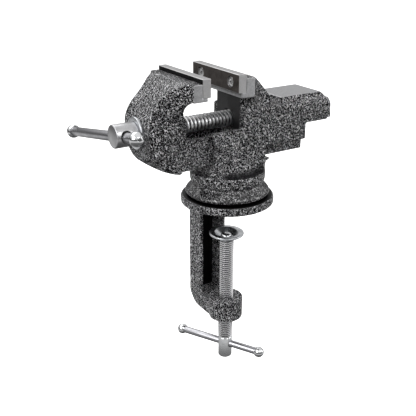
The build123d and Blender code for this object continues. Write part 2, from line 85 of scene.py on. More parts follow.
# %% Camera
CAMERA_TURN = math.radians(32.59)
CAMERA_TILT = math.radians(22.385)
CAMERA_ROLL = math.radians(0.138)
CAMERA_LENS = 59.83
CAMERA_DISTANCE = 514.18 * MM
CAMERA_SHIFT = (-14.635 * MM, -43.609 * MM)
aim = Vector((0, 0, 40 * MM))


def add_camera():
    """A camera whose own right, up and forward directions are built one after another."""
    forward = Vector((
        math.sin(CAMERA_TURN) * math.cos(CAMERA_TILT),
        math.cos(CAMERA_TURN) * math.cos(CAMERA_TILT),
        -math.sin(CAMERA_TILT),
    ))
    level = Vector((math.cos(CAMERA_TURN), -math.sin(CAMERA_TURN), 0))
    upright = level.cross(forward)
    right = level * math.cos(CAMERA_ROLL) + upright * math.sin(CAMERA_ROLL)
    up = upright * math.cos(CAMERA_ROLL) - level * math.sin(CAMERA_ROLL)
    data = bpy.data.cameras.new("camera")
    data.lens = CAMERA_LENS
    data.sensor_width = 36
    data.clip_start = 0.01
    camera = bpy.data.objects.new("camera", data)
    bpy.context.scene.collection.objects.link(camera)
    turn = Matrix((right, up, -forward)).transposed().to_4x4()
    place = aim - forward * CAMERA_DISTANCE + right * CAMERA_SHIFT[0] + up * CAMERA_SHIFT[1]
    camera.matrix_world = Matrix.Translation(place) @ turn
    bpy.context.scene.camera = camera
    return camera


camera = add_camera()
print("camera at", [round(value / MM, 1) for value in camera.matrix_world.translation], "mm")

# %% [markdown]
# ## Small tools for materials
#
# A finish is a little tree of nodes. Writing `nodes.new` and `links.new` for each one hides what the
# finish does, so two helpers add a node with its settings and join it to what feeds it. Everything is
# measured in the object's own coordinates, in metres, so a pattern keeps its real size on every piece and
# moves with it.


# %% Material helpers
class Nodes:
    """A node tree being built: add() makes a node, and a value that is a socket is linked instead of set."""

    def __init__(self, tree):
        self.tree = tree

    def feed(self, node, values):
        for key, value in values.items():
            socket = node.inputs[key]
            if isinstance(value, bpy.types.NodeSocket):
                self.tree.links.new(value, socket)
            else:
                socket.default_value = value

    def add(self, kind, inputs, output=0, **settings):
        node = self.tree.nodes.new("ShaderNode" + kind)
        for key, value in settings.items():
            setattr(node, key, value)
        self.feed(node, inputs)
        return node.outputs[output]

    def math(self, operation, a, b=0.0):
        return self.add("Math", {0: a, 1: b}, operation=operation)

    def spread(self, value, low, high, to_low=0.0, to_high=1.0):
        """Maps a value from one range to another, and stops at its ends."""
        return self.add("MapRange", {
            "Value": value, "From Min": low, "From Max": high, "To Min": to_low, "To Max": to_high,
        })

    def mix(self, amount, a, b):
        """Mixes two colours; the amount is 0 for a and 1 for b."""
        return self.add("Mix", {"Factor": amount, 6: a, 7: b}, output=2, data_type="RGBA")

    def split(self, vector):
        """The three parts of a vector, as sockets."""
        node = self.tree.nodes.new("ShaderNodeSeparateXYZ")
        self.feed(node, {0: vector})
        return node.outputs


class Finish(Nodes):
    """A material whose patterns live in the object's own coordinates."""

    def __init__(self, name):
        self.material = bpy.data.materials.new(name)
        self.material.use_nodes = True
        super().__init__(self.material.node_tree)
        self.shader = self.tree.nodes["Principled BSDF"]
        self.place = self.tree.nodes.new("ShaderNodeTexCoord").outputs["Object"]

    def noise(self, scale, detail=2.0, roughness=0.5, distortion=0.0, place=None):
        return self.add("TexNoise", {
            "Vector": place or self.place, "Scale": scale, "Detail": detail,
            "Roughness": roughness, "Distortion": distortion,
        })

    def stretched(self, scale):
        return self.add("Mapping", {"Vector": self.place, "Scale": scale})

    def bump(self, height, distance, strength=1.0):
        return self.add("Bump", {"Height": height, "Distance": distance, "Strength": strength})

    def inside(self, low, high, soft=0.15 * MM):
        """1 inside a box given by two corners in millimetres, 0 outside it."""
        centre = [(a + b) / 2 * MM for a, b in zip(low, high)]
        half = [(b - a) / 2 * MM for a, b in zip(low, high)]
        offset = self.add("VectorMath", {0: self.place, 1: centre}, operation="SUBTRACT")
        size = self.add("VectorMath", {0: offset}, operation="ABSOLUTE")
        over = self.add("VectorMath", {0: size, 1: half}, operation="SUBTRACT")
        x, y, z = self.split(over)
        widest = self.math("MAXIMUM", x, self.math("MAXIMUM", y, z))
        return self.spread(widest, -soft, soft, 1.0, 0.0)


# %% [markdown]
# ## Hammer finish
#
# Hammer paint is a black lacquer full of aluminium flakes. A silicone in it makes the wet film crawl into
# small cells, so silver worms and dots about a millimetre wide stand in a dark ground, and the film is
# dimpled like beaten metal. The worms are the places where a noise crosses its middle value; the same
# value drives the colour, the metal share, the gloss and the dimples, because in the real film they are
# one thing. Milled faces are cut after casting and stay bare, so each casting gives the boxes that its
# milled faces lie in.
#
# Three more masks work the same way. The dark boxes are painted shade: the neck's unpainted face is bare iron
# darkened for the shade it lies in, and the groove where skirt meets flange and the back of the arm's channel
# are painted near black for their shadow. Glossy boxes carry a thicker, wetter coat with less silver in it.
# In the recess under the cheek nearly all the silver is taken out, which is painted shade too. A dark mask
# only stands in for a hollow and its shadow: it changes no shape, and it stays dark under any light. A real
# hollow in the mesh would be the better way.


# %% Hammer paint and milled iron
GROUND = (0.002, 0.002, 0.0025, 1)
FLAKE = (0.92, 0.92, 0.94, 1)
IRON_LIGHT = (0.5, 0.5, 0.51, 1)
IRON_DARK = (0.28, 0.28, 0.29, 1)
# Bare iron darkened as painted shade, for a bare face that lies in shade.
BARE_IRON_IN_SHADE = (0.07, 0.07, 0.072, 1)
# Near black, painted shade for shaded grooves and hollows.
PAINTED_SHADE = (0.004, 0.004, 0.004, 1)


def silver_cells(finish):
    """1 on the silver worms and dots, 0 on the dark ground between them."""
    cells = finish.noise(680, detail=1.0, roughness=0.4, distortion=0.5)
    from_middle = finish.math("ABSOLUTE", finish.math("SUBTRACT", cells, 0.5))
    worms = finish.spread(from_middle, 0.009, 0.022, 1.0, 0.0)
    dots = finish.spread(finish.noise(1000, detail=1.0), 0.63, 0.67)
    return finish.math("MAXIMUM", worms, dots)


def recess_shade(finish, shaded_recess):
    """1 everywhere but in a recess round the swivel axis, where the silver is mostly taken out as painted
    shade.
    """
    low, high, radius = shaded_recess
    spoke = finish.add("VectorMath", {0: finish.place, 1: (1, 1, 0)}, operation="MULTIPLY")
    reach = finish.add("VectorMath", {0: spoke}, output=1, operation="LENGTH")
    within = finish.spread(reach, (radius - 0.5) * MM, (radius + 0.4) * MM, 0.9, 0.0)
    shaded_share = finish.math("MULTIPLY", within, finish.inside(low, high, 1.8 * MM))
    return finish.math("SUBTRACT", 1.0, shaded_share)


def milled_iron(finish):
    """How light the bare iron is, from its grain and cutter lines, and its colour."""
    grain = finish.noise(900, detail=4.0, roughness=0.6)
    lines = finish.noise(90, detail=3.0, place=finish.stretched((2, 26, 2)))
    tone = finish.spread(finish.math("ADD", grain, finish.math("MULTIPLY", lines, 0.6)), 0.55, 1.0)
    return tone, finish.mix(tone, IRON_DARK, IRON_LIGHT)


def hammer_paint(name, milled, painted_shade_boxes=(), glossy=(), shaded_recess=None):
    """Hammer paint; each casting gives the boxes that are milled, painted dark as shade, or glossy, and its
    recess, where the silver is taken out as painted shade.
    """
    finish = Finish(name)
    fleck = silver_cells(finish)
    cloud = finish.spread(finish.noise(45, detail=3.0), 0.3, 0.7, 0.86, 1.0)
    thick = 0.0
    for low, high in glossy:
        thick = finish.math("MAXIMUM", thick, finish.inside(low, high, 0.6 * MM))
    veil = finish.math("SUBTRACT", 1.0, finish.math("MULTIPLY", thick, 0.45))
    amount = finish.math("MULTIPLY", finish.math("MULTIPLY", fleck, cloud), veil)
    # In the recess under the cheek the silver is taken out, as painted shade.
    if shaded_recess:
        amount = finish.math("MULTIPLY", amount, recess_shade(finish, shaded_recess))
    paint = finish.mix(amount, GROUND, FLAKE)

    iron_tone, iron_or_shade = milled_iron(finish)
    unpainted_or_shaded = 0.0
    for low, high in milled:
        unpainted_or_shaded = finish.math("MAXIMUM", unpainted_or_shaded, finish.inside(low, high))
    # The dark boxes paint shade: the paint comes off there and a shaded colour is mixed in.
    for low, high, colour in painted_shade_boxes:
        dark = finish.inside(low, high)
        unpainted_or_shaded = finish.math("MAXIMUM", unpainted_or_shaded, dark)
        iron_or_shade = finish.mix(dark, iron_or_shade, colour)
    covered = finish.math("SUBTRACT", 1.0, unpainted_or_shaded)

    peel = finish.noise(260, detail=1.0)
    film = finish.math("ADD", finish.math("MULTIPLY", fleck, 0.55), finish.math("MULTIPLY", peel, 0.9))
    height = finish.math("MULTIPLY", film, covered)
    cutter_marks = finish.math("MULTIPLY", iron_tone, finish.math("MULTIPLY", unpainted_or_shaded, 0.12))
    height = finish.math("ADD", height, cutter_marks)

    metal = finish.math("MULTIPLY", amount, finish.math("MULTIPLY", covered, 0.25))
    metal = finish.math("ADD", metal, finish.math("MULTIPLY", unpainted_or_shaded, 0.85))
    rough = finish.spread(amount, 0.0, 1.0, 0.3, 0.42)
    rough = finish.math("ADD", rough, finish.math("MULTIPLY", unpainted_or_shaded, 0.12))
    coat = finish.math("MULTIPLY", covered, finish.spread(thick, 0.0, 1.0, 0.06, 0.9))
    finish.feed(finish.shader, {
        "Base Color": finish.mix(unpainted_or_shaded, paint, iron_or_shade), "Metallic": metal, "Roughness": rough,
        "Specular IOR Level": 0.1, "Coat Roughness": 0.12, "Coat Weight": coat,
        "Normal": finish.bump(height, 0.14 * MM),
    })
    return finish.material


def side_patches(low_x, high_x, low_z, high_z, half=30.0, deep=0.4):
    """Boxes for the milled cheeks at both ends of a jaw head."""
    return [((low_x, side * half - deep, low_z), (high_x, side * half + deep, high_z)) for side in (-1, 1)]


fixed_low, fixed_high = box_mm("fixed_jaw_plate")
loose_low, loose_high = box_mm("movable_jaw_plate")
LIP_DEPTH = 4.0
CHEEK_LENGTH = 11.0
ANVIL_TOP = 77.8
body_milled = side_patches(
    fixed_high.x - LIP_DEPTH - 0.3, fixed_high.x + CHEEK_LENGTH - LIP_DEPTH, 84.9, 99.2,
)
body_milled += [
    ((fixed_high.x - LIP_DEPTH - 0.5, -31, 84.0), (fixed_high.x - LIP_DEPTH + 0.4, 31, 89.5)),
    ((35.0, -15.0, ANVIL_TOP - 0.5), (75.2, 15.0, ANVIL_TOP + 0.5)),
]
# The neck face is bare iron, darkened as painted shade for the shade under the jaw plate.
neck_face_in_shade = ((-1.6, -14.8, 57.6), (0.5, 14.8, 84.0), BARE_IRON_IN_SHADE)
# Painted shade, near black: the groove where skirt and flange meet, and the back of the arm's channel.
skirt_groove_shade = ((-36, -36, 6.0), (36, 36, 8.1), PAINTED_SHADE)
flange_groove_shade = ((-36, -36, 5.9), (36, 36, 6.8), PAINTED_SHADE)
channel_back_shade = ((-7.6, 31.4, -88.5), (7.6, 33.6, -2.0), PAINTED_SHADE)
jaw_milled = side_patches(loose_low.x - CHEEK_LENGTH + LIP_DEPTH, loose_low.x + LIP_DEPTH + 0.3, 86.3, 99.2)
jaw_milled += [((loose_low.x + LIP_DEPTH - 0.4, -31, 85.0), (loose_low.x + LIP_DEPTH + 0.5, 31, 89.5))]

skirt = [((-33, -33, 7.6), (33, 33, 15.4))]
# The hollow under the cheek: its silver is taken out there, as painted shade.
shade_under_cheek = ((-16.0, -40, 22.0), (40, 40, 28.8), 28.0)
paint_body = hammer_paint("hammer_paint_body", body_milled, [neck_face_in_shade, skirt_groove_shade], skirt, shade_under_cheek)
paint_jaw = hammer_paint("hammer_paint_jaw", jaw_milled)
paint_clamp = hammer_paint("hammer_paint_clamp", [], [flange_groove_shade, channel_back_shade])
print("milled boxes:", len(body_milled), "on the body,", len(jaw_milled), "on the jaw")

# %% [markdown]
# ## Steels
#
# Steel looks like the way it was made. Turned steel has fine rings, zinc plate a cloudy bloom, and chrome
# is almost a mirror whose finger marks only show in its gloss, so one function makes them all from two
# tones, two roughnesses and a direction for the scratches. A thread adds painted light: its roots are painted
# dark as shade and its crests near white as a painted highlight, mixed by the distance from the screw's axis.
# The jaw plates are ground bright on their edges, and left dark on their broad faces by the hardening.


# %% Steel finishes
# Painted light for threads: near black as painted shade in the roots, near white as a painted highlight on
# the crests.
ROOT_SHADE = (0.035, 0.035, 0.037, 1)
CREST_HIGHLIGHT = (0.94, 0.94, 0.95, 1)


def steel(name, light, dark, rough_low, rough_high, scratch=(40, 40, 40), depth=0.02, thread=None):
    """Bare or plated steel. A thread is given as the directions across its axis, a point on the axis,
    its root and crest radius, and the two corners of the box it lies in."""
    finish = Finish(name)
    bloom = finish.noise(140, detail=4.0, roughness=0.6)
    marks = finish.noise(60, detail=3.0, roughness=0.7, place=finish.stretched(scratch))
    tone = finish.spread(finish.math("ADD", bloom, finish.math("MULTIPLY", marks, 0.5)), 0.5, 1.0)
    colour = finish.mix(tone, dark, light)
    if thread:
        across, centre, root, crest, low, high = thread
        spoke = finish.add("VectorMath", {0: finish.place, 1: across}, operation="MULTIPLY")
        reach = finish.add("VectorMath", {0: spoke, 1: centre}, output=1, operation="DISTANCE")
        deep = finish.spread(reach, (root + 0.15) * MM, (crest - 0.25) * MM, 1.0, 0.0)
        # The roots are painted dark as shade and the crests light as a painted highlight.
        colour = finish.mix(finish.inside(low, high), colour, finish.mix(deep, CREST_HIGHLIGHT, ROOT_SHADE))
    finish.feed(finish.shader, {
        "Base Color": colour, "Metallic": 1.0,
        "Roughness": finish.spread(tone, 0.0, 1.0, rough_high, rough_low),
        "Normal": finish.bump(marks, depth * MM, 0.6),
    })
    return finish.material


def plate_steel(name, face_x, back_x):
    """Ground steel whose two broad faces are dark from hardening."""
    finish = Finish(name)
    lines = finish.noise(70, detail=4.0, roughness=0.65, place=finish.stretched((30, 1.2, 30)))
    mottle = finish.noise(210, detail=5.0, roughness=0.7)
    front, back = [
        finish.inside((x - 0.2, -29.6, 89.4), (x + 0.2, 29.6, 101.5), 0.1 * MM) for x in (face_x, back_x)
    ]
    broad = finish.math("MAXIMUM", front, back)
    bright = finish.mix(lines, (0.42, 0.42, 0.43, 1), (0.72, 0.71, 0.71, 1))
    dark = finish.mix(finish.spread(mottle, 0.3, 0.7), (0.035, 0.03, 0.027, 1), (0.11, 0.097, 0.09, 1))
    dark = finish.mix(back, dark, (0.008, 0.008, 0.008, 1))
    rough = finish.math("ADD", finish.spread(broad, 0, 1, 0.28, 0.42), finish.math("MULTIPLY", mottle, 0.12))
    height = finish.math("ADD", lines, finish.math("MULTIPLY", mottle, broad))
    finish.feed(finish.shader, {
        "Base Color": finish.mix(broad, bright, dark), "Metallic": finish.spread(broad, 0, 1, 1.0, 0.75),
        "Roughness": rough, "Normal": finish.bump(height, 0.03 * MM, 0.7),
    })
    return finish.material


bright_steel = steel(
    "bright_steel", (0.52, 0.52, 0.54, 1), (0.36, 0.36, 0.38, 1), 0.26, 0.38, scratch=(60, 4, 4),
)
head_steel = steel("head_steel", (0.64, 0.64, 0.65, 1), (0.42, 0.42, 0.42, 1), 0.2, 0.34, scratch=(70, 5, 5))
zinc_steel = steel("zinc_steel", (0.7, 0.72, 0.74, 1), (0.46, 0.47, 0.49, 1), 0.2, 0.36, scratch=(5, 5, 50))
main_low, main_high = box_mm("main_screw")
screw_z = (main_low.z + main_high.z) / 2
main_axis = (0, 0, screw_z * MM)
main_thread_steel = steel(
    "main_thread_steel", (0.56, 0.56, 0.57, 1), (0.38, 0.38, 0.39, 1), 0.26, 0.4, scratch=(70, 5, 5),
    thread=((0, 1, 1), main_axis, 4.2, 5.3, (-47, -10, 50), (60, 10, 80)),
)
clamp_thread_steel = steel(
    "clamp_thread_steel", (0.8, 0.81, 0.82, 1), (0.6, 0.61, 0.62, 1), 0.16, 0.28, scratch=(5, 5, 50),
    thread=((1, 1, 0), (0, 0, 0), 4.7, 5.7, (-10, -10, -121), (10, 10, -32.6)),
)
chrome = steel("chrome", (0.8, 0.81, 0.82, 1), (0.66, 0.67, 0.68, 1), 0.06, 0.16, depth=0.005)
socket_steel = steel("socket_steel", (0.88, 0.88, 0.88, 1), (0.66, 0.66, 0.66, 1), 0.2, 0.34)
nut_iron = steel("nut_iron", (0.3, 0.29, 0.28, 1), (0.14, 0.13, 0.12, 1), 0.35, 0.55, depth=0.06)
fixed_plate_steel = plate_steel("fixed_plate_steel", fixed_low.x, fixed_high.x)
loose_plate_steel = plate_steel("movable_plate_steel", loose_high.x, loose_low.x)
print("steels:", bright_steel.name, zinc_steel.name, chrome.name, socket_steel.name, nut_iron.name)

# %% [markdown]
# ## Small tools for meshes
#
# Every new piece starts in a bmesh at the origin, along +Z, because turning and threading are simplest
# there. It is then moved to its place in the mesh itself, so that its object stays at the origin as the
# CAD nodes' do.


# %% Mesh helpers
def outline(points):
    """A bmesh with one open line of (radius, height) points in millimetres."""
    mesh = bmesh.new()
    line = [mesh.verts.new((radius * MM, 0, height * MM)) for radius, height in points]
    for start, end in zip(line, line[1:]):
        mesh.edges.new((start, end))
    return mesh


def spin_closed(mesh, steps=72):
    """Turns the line once round the Z axis and closes it."""
    geometry = mesh.verts[:] + mesh.edges[:]
    bmesh.ops.spin(
        mesh, geom=geometry, cent=(0, 0, 0), axis=(0, 0, 1), angle=math.tau, steps=steps, use_merge=True,
    )
    clean(mesh)


def clean(mesh):
    bmesh.ops.remove_doubles(mesh, verts=mesh.verts, dist=0.0005 * MM)
    bmesh.ops.dissolve_degenerate(mesh, edges=mesh.edges, dist=0.0005 * MM)
    bmesh.ops.recalc_face_normals(mesh, faces=mesh.faces)


def round_edges(mesh, width, angle=35, segments=3):
    """Rounds every edge that is sharper than the angle."""
    limit = math.radians(angle)
    sharp = [edge for edge in mesh.edges if edge.is_manifold and edge.calc_face_angle() > limit]
    bmesh.ops.bevel(
        mesh, geom=sharp, offset=width * MM, offset_type="OFFSET", segments=segments,
        profile=0.5, affect="EDGES", clamp_overlap=True, material=-1,
    )


def turned(points, width=0.25, steps=72, segments=3):
    mesh = outline(points)
    spin_closed(mesh, steps)
    round_edges(mesh, width, segments=segments)
    return mesh


def aim_along(mesh, direction, place):
    """Moves a piece made along +Z so that it runs along a direction from a place, both in metres."""
    turn = Vector((0, 0, 1)).rotation_difference(Vector(direction)).to_matrix().to_4x4()
    bmesh.ops.transform(mesh, matrix=Matrix.Translation(place) @ turn, verts=mesh.verts)


def to_object(mesh, name):
    data = bpy.data.meshes.new(name)
    mesh.to_mesh(data)
    mesh.free()
    piece = bpy.data.objects.new(name, data)
    bpy.context.scene.collection.objects.link(piece)
    return piece


def applied(piece):
    """The piece's mesh with its modifiers worked out, as a new bmesh; the piece itself is deleted."""
    bpy.context.view_layer.update()
    graph = bpy.context.evaluated_depsgraph_get()
    mesh = bmesh.new()
    mesh.from_mesh(piece.evaluated_get(graph).to_mesh())
    bpy.data.objects.remove(piece)
    return mesh


def cut_away(mesh, tool):
    """The first bmesh less the second one."""
    piece, cutter = to_object(mesh, "blank"), to_object(tool, "cutter")
    modifier = piece.modifiers.new("cut", "BOOLEAN")
    modifier.object = cutter
    modifier.operation = "DIFFERENCE"
    modifier.solver = "EXACT"
    result = applied(piece)
    bpy.data.objects.remove(cutter)
    return result


def drill_bit(radius, start, end, steps):
    """A plain cylinder along +Z that cuts a round hole."""
    return turned([(0, start), (radius, start), (radius, end), (0, end)], width=0.01, steps=steps)


def joined(meshes):
    """Several closed shells in one bmesh."""
    whole = bmesh.new()
    for mesh in meshes:
        data = bpy.data.meshes.new("shell")
        mesh.to_mesh(data)
        mesh.free()
        whole.from_mesh(data)
        bpy.data.meshes.remove(data)
    return whole


def finished(mesh, name, material, body, nodes, sharp=40):
    """Makes the bmesh a piece that rides on a body and stands for CAD nodes."""
    piece = to_object(mesh, name)
    piece.data.shade_smooth()
    piece.data.set_sharp_from_angle(angle=math.radians(sharp))
    piece.data.materials.append(material)
    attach(piece, body)
    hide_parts(*nodes)
    print(f"{name}: {len(piece.data.polygons)} faces on {body}")
    return piece


# %% [markdown]
# ## Castings
#
# The body, the movable jaw and the clamp are iron castings. Sand leaves no sharp edge, and thick paint
# softens edges further. Bevelling hundreds of blended edges one by one is fragile, so each casting is a
# copy of its CAD node that is wrapped in a fine voxel skin and relaxed once, which gives every edge the
# same small round. The price is that the skin lies up to about a tenth of a millimetre off the CAD faces,
# so two castings that slide on each other cross by that much.


# %% Cast skins
def cast_skin(node, voxel, relax):
    copy = bmesh.new()
    copy.from_mesh(frame["nodes"][node].data)
    bmesh.ops.remove_doubles(copy, verts=copy.verts, dist=0.002 * MM)
    piece = to_object(copy, node + "_skin")
    skin = piece.modifiers.new("skin", "REMESH")
    skin.mode = "VOXEL"
    skin.voxel_size = voxel * MM
    mesh = applied(piece)
    for _ in range(relax):
        bmesh.ops.smooth_vert(
            mesh, verts=mesh.verts, factor=0.5, use_axis_x=True, use_axis_y=True, use_axis_z=True,
        )
    return mesh


CASTINGS = [
    ("vise_body", "cast_vise_body", paint_body, "vise", 0.68),
    ("movable_jaw", "cast_movable_jaw", paint_jaw, "jaw", 0.6),
    ("clamp_frame", "cast_clamp_frame", paint_clamp, "clamp", 0.6),
]
for node, name, paint, body, voxel in CASTINGS:
    finished(cast_skin(node, voxel, relax=1), name, paint, body, [node], sharp=60)

# %% [markdown]
# ## Threads
#
# A thread is a tooth profile that moves along the axis as it goes round. One line down the rod, with a
# tooth at every lead, is spun once while it slips forward by exactly one lead. Its end then meets the
# next tooth of its start, so merging doubles closes the helix. The two ragged ends are cut square and
# filled.


# %% Helical thread
def thread(crest, root, lead, start, end, crest_share=0.34, root_share=0.3, steps=40, taper=0.0):
    """A threaded rod along +Z; radii, lead and ends in millimetres, and a taper that thins its first end."""
    flank = (1 - crest_share - root_share) / 2
    tooth = [(root, 0), (root, root_share), (crest, root_share + flank), (crest, 1 - flank)]
    first = math.floor(start / lead) - 2
    last = math.ceil(end / lead) + 2
    points = [(radius, (turn + share) * lead) for turn in range(first, last) for radius, share in tooth]
    mesh = outline(points)
    slip = Vector((0, 0, lead * MM / steps))
    bmesh.ops.spin(
        mesh, geom=mesh.verts[:] + mesh.edges[:], cent=(0, 0, 0), axis=(0, 0, 1), dvec=slip,
        angle=math.tau, steps=steps, use_duplicate=False,
    )
    bmesh.ops.remove_doubles(mesh, verts=mesh.verts, dist=0.002 * MM)
    for height, side in ((start, -1), (end, 1)):
        bmesh.ops.bisect_plane(
            mesh, geom=mesh.verts[:] + mesh.edges[:] + mesh.faces[:], dist=0.0001 * MM,
            plane_co=(0, 0, height * MM), plane_no=(0, 0, side), clear_outer=True,
        )
        rim = [
            edge for edge in mesh.edges
            if edge.is_boundary and abs(edge.verts[0].co.z - height * MM) < 0.01 * MM
        ]
        bmesh.ops.edgeloop_fill(mesh, edges=rim)
    for vert in mesh.verts:
        for height, side in ((start, 1), (end, -1)):
            inset = taper - side * (vert.co.z / MM - height)
            limit = (crest - max(inset, 0)) * MM
            radius = math.hypot(vert.co.x, vert.co.y)
            if taper and radius > limit:
                vert.co.x *= limit / radius
                vert.co.y *= limit / radius
    bmesh.ops.recalc_face_normals(mesh, faces=mesh.faces)
    return mesh


# %% [markdown]
# ## Main screw and its handle
#
# The screw has a turned head with a cross hole for the bar, a plain neck in the movable jaw, and a
# trapezoidal thread of 3 mm lead. The head is turned from a profile and drilled with a boolean cut, the
# way the real one is.

# %% Main screw
washer_low, washer_high = box_mm("main_screw_washer")
bar_low, bar_high = box_mm("main_bar")
bar_way = Vector(joints["main_bar_slide"]["axis"])
bar_middle = (bar_low + bar_high) / 2
head_radius = (main_high.z - main_low.z) / 2
SCREW_RADIUS = 6.0
THREAD_ROOT = 4.35
THREAD_LEAD = 3.0
HOLE_RADIUS = 4.3
HOLE_DROP = 0.8
THREAD_START = 47.0

shoulder = washer_low.x - main_low.x
neck_end = -THREAD_START - main_low.x
head = turned([
    (0, 0), (head_radius - 0.9, 0), (head_radius - 0.25, 0.3), (head_radius, 1.0),
    (head_radius, shoulder - 0.4), (head_radius - 0.4, shoulder), (SCREW_RADIUS, shoulder),
    (SCREW_RADIUS, neck_end), (0, neck_end),
], width=0.25, steps=96)
aim_along(head, (1, 0, 0), Vector((main_low.x, 0, screw_z)) * MM)
drill = drill_bit(HOLE_RADIUS, -20, 20, steps=64)
cross_hole = Vector((bar_middle.x, 0, screw_z - HOLE_DROP))
aim_along(drill, bar_way, cross_hole * MM)
head = cut_away(head, drill)

threaded = thread(SCREW_RADIUS, THREAD_ROOT, THREAD_LEAD, 0, main_high.x + THREAD_START, taper=1.2)
aim_along(threaded, (1, 0, 0), Vector((-THREAD_START, 0, screw_z)) * MM)
finished(
    joined([head, threaded]), "turned_main_screw", main_thread_steel,
    "main_spindle", ["main_screw"], 35,
)

# %% [markdown]
# The bar is a bright rod that slides in the head's cross hole. A ball is pressed on each end and the rod
# is peened over it, which leaves a small flat and a ring on the outside of the ball.


# %% Bars and balls
def bar_with_balls(bar_node, knob_node, joint, body):
    low, high = box_mm(bar_node)
    knob_low, knob_high = box_mm(knob_node)
    way = Vector(joints[joint]["axis"])
    middle = (low + high) / 2
    main = max(range(3), key=lambda i: abs(way[i]))
    cross = min(range(3), key=lambda i: abs(way[i]))
    rod_radius = (high[cross] - low[cross]) / 2
    ball_radius = (knob_high[cross] - knob_low[cross]) / 2
    side = math.sqrt(1 - way[main] ** 2)
    half = ((high[main] - low[main]) - 2 * rod_radius * side) / 2 / abs(way[main])

    rod = turned([(0, -half), (rod_radius, -half), (rod_radius, half), (0, half)], width=0.3, steps=56)
    aim_along(rod, way, middle * MM)
    finished(rod, "round_" + bar_node, bright_steel, body, [bar_node])

    balls = []
    for end in (-1, 1):
        # the ball is a sphere with a collar where the rod enters and a peened rivet on its outer end
        points = []
        collar = rod_radius * 1.18
        rim = math.sqrt(ball_radius ** 2 - collar ** 2)
        arc_start = math.atan2(collar, -rim)
        flat = ball_radius * 0.36
        arc_end = math.asin(flat / ball_radius)
        steps = 22
        for step in range(steps + 1):
            angle = arc_start + (arc_end - arc_start) * step / steps
            points.append((ball_radius * math.sin(angle), ball_radius * math.cos(angle)))
        top = points[-1][1]
        points = [(0, -rim + 0.5), (rod_radius * 1.01, -rim + 0.5), (rod_radius * 1.04, -rim)] + points
        points += [
            (flat * 0.92, top - 0.12), (flat * 0.8, top - 0.05), (flat * 0.45, top + 0.02), (0, top + 0.04),
        ]
        ball = outline(points)
        spin_closed(ball, 56)
        aim_along(ball, way * end, (middle + way * half * end) * MM)
        balls.append(ball)
    finished(joined(balls), "peened_" + knob_node, chrome, body, [knob_node], sharp=50)
    print(f"{bar_node}: {2 * rod_radius:.1f} by {2 * half:.1f} mm, balls {2 * ball_radius:.1f} mm")


bar_with_balls("main_bar", "main_bar_knobs", "main_bar_slide", "main_handle")
bar_with_balls("clamp_bar", "clamp_bar_knobs", "clamp_bar_slide", "clamp_handle")

# %% [markdown]
# ## Clamp screw and pad
#
# The clamp screw runs up through the boss of the clamp. Its thread is 12 mm across with the 1.75 mm pitch
# that is standard for that size; the real one may be nearer 2 mm. Its lower end is plain and drilled for
# the handle. A pressed steel cup is held on its ball end and turns on it, so the table isn't scored when
# the screw is tightened.

# %% Clamp screw
clamp_low = box_mm("clamp_screw")[0]
pad_low, pad_high = box_mm("clamp_pad")
clamp_bar_low, clamp_bar_high = box_mm("clamp_bar")
clamp_way = Vector(joints["clamp_bar_slide"]["axis"])
PITCH = 1.75
CREST = 6.0
ROOT = 4.8
PLAIN_RADIUS = 5.65
CLAMP_HOLE_RADIUS = 3.3
THREAD_TOP = pad_low.z - 0.2
THREAD_BOTTOM = -121.4
BALL_NECK = 3.2
WEB = pad_high.z - 3.5

rod = thread(CREST, ROOT, PITCH, THREAD_BOTTOM, THREAD_TOP, crest_share=0.2, root_share=0.2, taper=0.7)
plain = turned([
    (0, clamp_low.z), (PLAIN_RADIUS - 0.8, clamp_low.z), (PLAIN_RADIUS, clamp_low.z + 0.8),
    (PLAIN_RADIUS, THREAD_BOTTOM - 0.6), (PLAIN_RADIUS - 0.6, THREAD_BOTTOM), (0, THREAD_BOTTOM),
], width=0.2, steps=72)
drill = drill_bit(CLAMP_HOLE_RADIUS, -15, 15, steps=48)
clamp_bar_z = (clamp_bar_low.z + clamp_bar_high.z) / 2
aim_along(drill, clamp_way, Vector((0, 0, clamp_bar_z)) * MM)
plain = cut_away(plain, drill)
nose = turned([
    (0, THREAD_TOP), (BALL_NECK, THREAD_TOP), (BALL_NECK, WEB + 0.2), (4.3, WEB + 0.3), (4.3, WEB + 0.7),
    (3.9, WEB + 1.5), (3.1, WEB + 2.2), (1.8, WEB + 2.6), (0.8, WEB + 2.65), (0, WEB + 2.2),
], width=0.15, steps=48)
finished(
    joined([rod, plain, nose]), "threaded_clamp_screw", clamp_thread_steel,
    "clamp_spindle", ["clamp_screw"], 35,
)

# %% [markdown]
# The cup under the table is pressed from sheet. A pressed sheet has the same thickness and the same round
# corners all the way round, so its section is drawn once, as a closed line, and spun.

# %% Clamp pad
PAD_RADIUS = pad_high.x
rim_z = pad_high.z
pad = turned([
    (3.4, WEB), (4.8, WEB), (5.6, WEB + 0.5), (8.4, rim_z - 0.7), (9.5, rim_z - 0.1), (10.4, rim_z),
    (PAD_RADIUS - 0.5, rim_z), (PAD_RADIUS, rim_z - 0.5), (PAD_RADIUS, rim_z - 1.5),
    (PAD_RADIUS - 0.5, rim_z - 2.0), (10.0, rim_z - 2.0), (6.2, pad_low.z), (3.4, pad_low.z), (3.4, WEB),
], width=0.2, steps=96)
finished(pad, "pressed_clamp_pad", zinc_steel, "pad", ["clamp_pad"], 30)

# %% [markdown]
# ## Jaw plates and their screws
#
# The plates are hardened and ground. They keep the CAD mesh, whose chamfers and countersinks are right,
# and only get a material.


# %% Jaw plates
def keep_cad(node, material):
    """Gives a CAD node a finished material in place of its plain one."""
    slots = frame["nodes"][node].data.materials
    if slots:
        for index in range(len(slots)):
            slots[index] = material
    else:
        slots.append(material)


